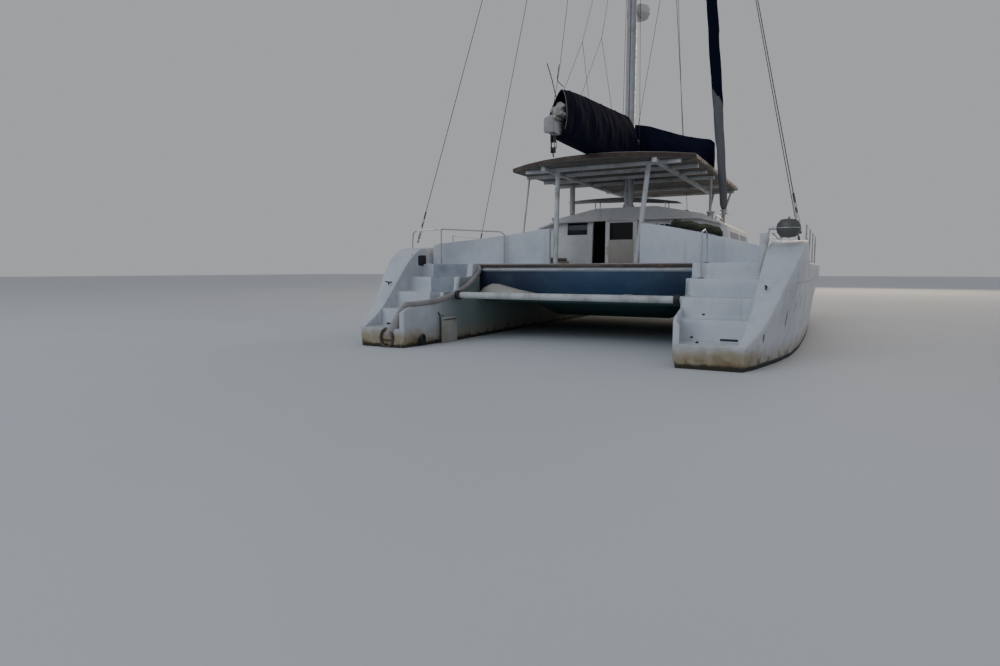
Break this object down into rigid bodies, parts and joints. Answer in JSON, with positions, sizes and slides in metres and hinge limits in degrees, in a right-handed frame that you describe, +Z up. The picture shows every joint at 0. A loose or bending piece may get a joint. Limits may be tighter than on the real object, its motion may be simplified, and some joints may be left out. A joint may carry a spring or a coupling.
{
  "type": "sailing catamaran",
  "caption": "Cruising sailing catamaran afloat: twin scoop-stern hulls, cabin, hard roof on posts, mast, boom in its sail cover, and moving rudders, propellers and door.",
  "frame": {"origin": "on the centreline, amidships (halfway along the 12 m length), at the waterline", "axes": "+Z up, +Y towards the bow, +X to starboard"},
  "size_m": [6.9, 11.88, 18.32],
  "materials": {
    "gelcoat": "aged, dull gloss",
    "antifoul": "matt, grown over",
    "canvas": "woven, faded",
    "alloy": "anodised",
    "steel": "polished, tea stained",
    "paint": "chalky white paint",
    "tint": "dark tint",
    "net": "knotted net",
    "iron": "painted",
    "bronze": "dull"
  },
  "bodies": {
    "root": {"hull_port": "gelcoat", "hull_starboard": "gelcoat", "bridgedeck": "gelcoat", "cabin": "gelcoat", "coaming_port": "gelcoat", "coaming_starboard": "gelcoat", "cockpit_seat_port": "gelcoat", "cockpit_seat_starboard": "gelcoat", "helm": "gelcoat", "saloon_seat": "gelcoat", "galley": "gelcoat", "keel_port": "antifoul", "keel_starboard": "antifoul", "sail_bag": "canvas", "furled_headsail": "canvas", "mast": "alloy", "forward_beam": "alloy", "backstay_port": "steel", "backstay_starboard": "steel", "shroud_port": "steel", "shroud_starboard": "steel", "forestay": "steel", "bow_rail_port": "steel", "bow_rail_starboard": "steel", "guard_rail_port": "steel", "guard_rail_starboard": "steel", "stern_rail_port": "steel", "stern_rail_starboard": "steel", "roof": "paint", "roof_frame": "paint", "radar_dome": "paint", "stern_tube": "paint", "davit_strut": "paint", "pane_aft_a": "tint", "pane_aft_b": "tint", "pane_front_port": "tint", "pane_front_starboard": "tint", "pane_port_a": "tint", "pane_port_b": "tint", "pane_starboard_a": "tint", "pane_starboard_b": "tint", "net_port": "net", "net_starboard": "net", "engine_port": "iron", "engine_starboard": "iron", "drive_leg_port": "iron", "drive_leg_starboard": "iron", "rail_grill": "iron"},
    "boom": {"boom": "alloy", "sail_cover": "canvas"},
    "saloon_door": {"saloon_door": "gelcoat", "door_pane": "tint"},
    "steering_wheel": {"steering_wheel": "steel"},
    "rudder_port": {"rudder_port": "antifoul"},
    "rudder_starboard": {"rudder_starboard": "antifoul"},
    "propeller_port": {"propeller_port": "bronze"},
    "propeller_starboard": {"propeller_starboard": "bronze"},
    "engine_hatch_port": {"engine_hatch_port": "gelcoat"},
    "engine_hatch_starboard": {"engine_hatch_starboard": "gelcoat"}
  },
  "joints": [
    {"name": "boom_swing", "type": "hinge", "parent": "root", "child": "boom", "pos_m": [0, -1.2, 3.21], "axis": [0, 0, 1], "range_deg": [-50, 50]},
    {"name": "door_slide", "type": "slide", "parent": "root", "child": "saloon_door", "axis": [1, 0, 0], "range_m": [-0.33, 0.28]},
    {"name": "rudder_starboard_turn", "type": "hinge", "parent": "root", "child": "rudder_starboard", "pos_m": [2.48, -4.85, -0.36], "axis": [0, 0, 1], "range_deg": [-35, 35]},
    {"name": "rudder_port_turn", "type": "hinge", "parent": "root", "child": "rudder_port", "pos_m": [-2.48, -4.85, -0.36], "axis": [0, 0, 1], "range_deg": [-35, 35]},
    {"name": "wheel_turn", "type": "hinge", "parent": "root", "child": "steering_wheel", "pos_m": [0.95, -1.88, 1.72], "axis": [0, 1, 0], "range_deg": [-420, 420]},
    {"name": "propeller_starboard_spin", "type": "hinge", "parent": "root", "child": "propeller_starboard", "pos_m": [2.48, -3.455, -0.92], "axis": [0, 1, 0], "continuous": true},
    {"name": "engine_hatch_starboard_lift", "type": "hinge", "parent": "root", "child": "engine_hatch_starboard", "pos_m": [2.48, -1.745, 1.3003], "axis": [-1, 0, 0], "range_deg": [0, 85]},
    {"name": "propeller_port_spin", "type": "hinge", "parent": "root", "child": "propeller_port", "pos_m": [-2.48, -3.455, -0.92], "axis": [0, 1, 0], "continuous": true},
    {"name": "engine_hatch_port_lift", "type": "hinge", "parent": "root", "child": "engine_hatch_port", "pos_m": [-2.48, -1.745, 1.3003], "axis": [-1, 0, 0], "range_deg": [0, 85]}
  ],
  "couplings": [
    {"joint": "rudder_port_turn", "follows": "rudder_starboard_turn", "ratio": 1},
    {"joint": "wheel_turn", "follows": "rudder_starboard_turn", "ratio": 12}
  ]
}
